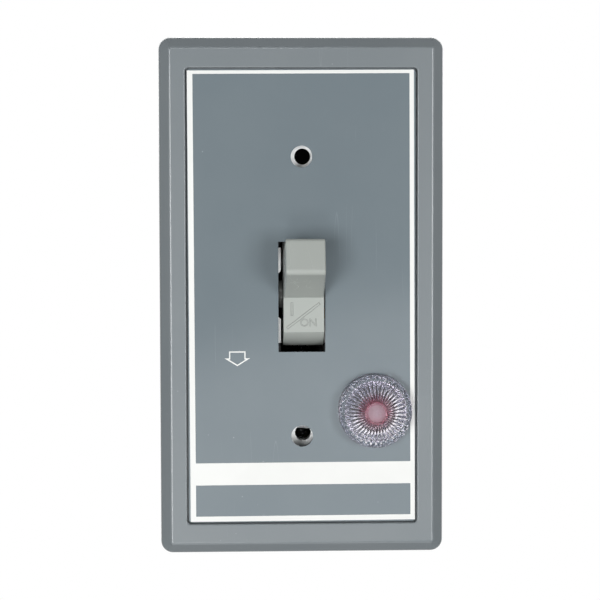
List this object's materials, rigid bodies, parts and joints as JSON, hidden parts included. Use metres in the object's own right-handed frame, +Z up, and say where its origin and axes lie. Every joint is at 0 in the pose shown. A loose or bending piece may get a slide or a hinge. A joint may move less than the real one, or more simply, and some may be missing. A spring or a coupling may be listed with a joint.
{
  "type": "manual motor starter",
  "caption": "Wall-mounted manual motor starter: grey bezel and cover plate, tilting toggle in a slot, fluted pilot light, sheet-steel box with contacts and overload inside.",
  "frame": {"origin": "centre of the box's wall face", "axes": "+X to the right seen from the front, +Z up, the front faces -Y, the wall lies on +Y"},
  "size_m": [0.0612, 0.0668, 0.1114],
  "materials": {
    "box_paint": "grey enamel, satin",
    "bezel_moulding": "blue-grey moulding, satin",
    "plate_paint": "blue-grey enamel, semi-gloss, white line print",
    "toggle_moulding": "light warm grey, satin",
    "zinc_steel": "zinc plated",
    "phenolic": "black moulding",
    "fibre": "dark fibre sheet",
    "spring_steel": "bright drawn",
    "silver_contact": "silver, dull",
    "copper": "copper strip",
    "brass_parts": "machined brass",
    "heater_wire": "heat-dulled wire",
    "clear_lens": "clear fluted moulding",
    "red_cap": "translucent red",
    "nylon": "natural nylon",
    "lead_sleeve": "black sleeve",
    "green_screw": "green dyed"
  },
  "bodies": {
    "enclosure": {"back_box": "box_paint", "knockout_discs": "box_paint", "knockout_rings": "box_paint", "front_bezel": "bezel_moulding", "cover_plate": "plate_paint", "ground_screw": "green_screw", "mounting_strap": "zinc_steel", "device_screws": "zinc_steel", "strap_screws": "zinc_steel", "starter_base": "phenolic", "arc_shield": "fibre", "toggle_pin": "spring_steel", "fixed_tips": "silver_contact", "line_contacts": "copper", "load_contacts": "copper", "terminal_screws": "brass_parts", "terminal_clamps": "brass_parts", "solder_pot": "brass_parts", "heater_coil": "heater_wire", "heater_tabs": "brass_parts", "pawl_pin": "spring_steel", "carrier_spring": "spring_steel", "trip_spring": "spring_steel", "pilot_lens": "clear_lens", "pilot_nut": "nylon", "lamp_holder": "nylon", "neon_lamp": "red_cap", "pilot_leads": "lead_sleeve"},
    "toggle": {"toggle_handle": "toggle_moulding"},
    "carrier": {"contact_carrier": "phenolic", "moving_bridges": "copper", "moving_tips": "silver_contact", "contact_springs": "spring_steel"},
    "ratchet": {"ratchet_wheel": "brass_parts"},
    "pawl": {"trip_pawl": "zinc_steel"}
  },
  "joints": [
    {"name": "toggle_tilt", "type": "hinge", "parent": "enclosure", "child": "toggle", "pos_m": [0.0004, -0.0438, 0], "axis": [1, 0, 0], "range_deg": [0, 53]},
    {"name": "carrier_slide", "type": "slide", "parent": "enclosure", "child": "carrier", "axis": [0, 0, 1], "range_m": [0, 0.00712], "deforming": ["carrier_spring"]},
    {"name": "ratchet_spin", "type": "hinge", "parent": "enclosure", "child": "ratchet", "pos_m": [-0.0076, -0.0375, -0.029], "axis": [0, -1, 0], "range_deg": [0, 20.6]},
    {"name": "pawl_swing", "type": "hinge", "parent": "enclosure", "child": "pawl", "pos_m": [0.0064, -0.0375, -0.029], "axis": [0, 1, 0], "range_deg": [0, 8], "deforming": ["trip_spring"]}
  ],
  "couplings": [
    {"joint": "toggle_tilt", "follows": "carrier_slide", "rad_per_m": 129.75},
    {"joint": "pawl_swing", "follows": "ratchet_spin", "ratio": 0.386}
  ]
}
